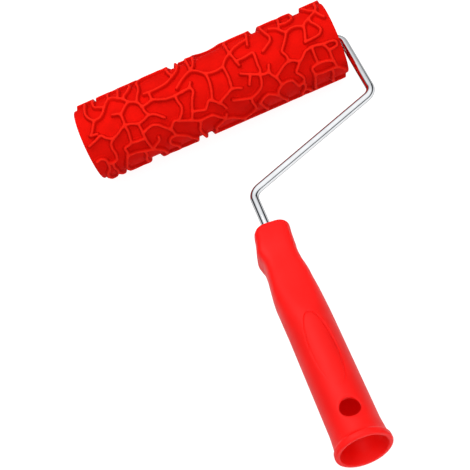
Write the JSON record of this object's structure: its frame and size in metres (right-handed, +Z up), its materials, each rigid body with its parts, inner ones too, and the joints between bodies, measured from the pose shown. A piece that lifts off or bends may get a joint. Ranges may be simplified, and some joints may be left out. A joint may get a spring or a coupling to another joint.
{
  "type": "pattern paint roller",
  "caption": "Hand roller with an embossed rubber sleeve that turns on a bent wire frame, and a moulded handle with a hanging hole and a pole socket.",
  "frame": {"origin": "middle of the bottom of the whole tool's box, with the wire frame level and the roller standing on the ground plane", "axes": "+X along the roller's axis towards the frame's leg, +Y from the handle to the roller, +Z up"},
  "size_m": [0.1866, 0.314, 0.0545],
  "materials": {
    "red_rubber": "smooth moulded rubber with a slight sheen",
    "red_plastic": "semi-gloss injection moulded",
    "white_plastic": "natural acetal",
    "grey_plastic": "extruded",
    "bright_steel": "bright plated"
  },
  "bodies": {
    "frame": {"wire_frame": "bright_steel", "handle": "red_plastic", "thrust_washer_left": "white_plastic", "thrust_washer_right": "white_plastic", "flat_washer_left": "bright_steel", "push_on_cap": "bright_steel", "stop_collar": "bright_steel"},
    "roller": {"pattern_sleeve": "red_rubber", "core_tube": "grey_plastic", "end_cap_left": "red_plastic", "end_cap_right": "red_plastic", "bearing_bush_left": "white_plastic", "bearing_bush_right": "white_plastic"}
  },
  "joints": [
    {"name": "roller_spin", "type": "hinge", "parent": "frame", "child": "roller", "pos_m": [-0.0033, 0.12971, 0.02725], "axis": [1, 0, 0], "continuous": true}
  ]
}
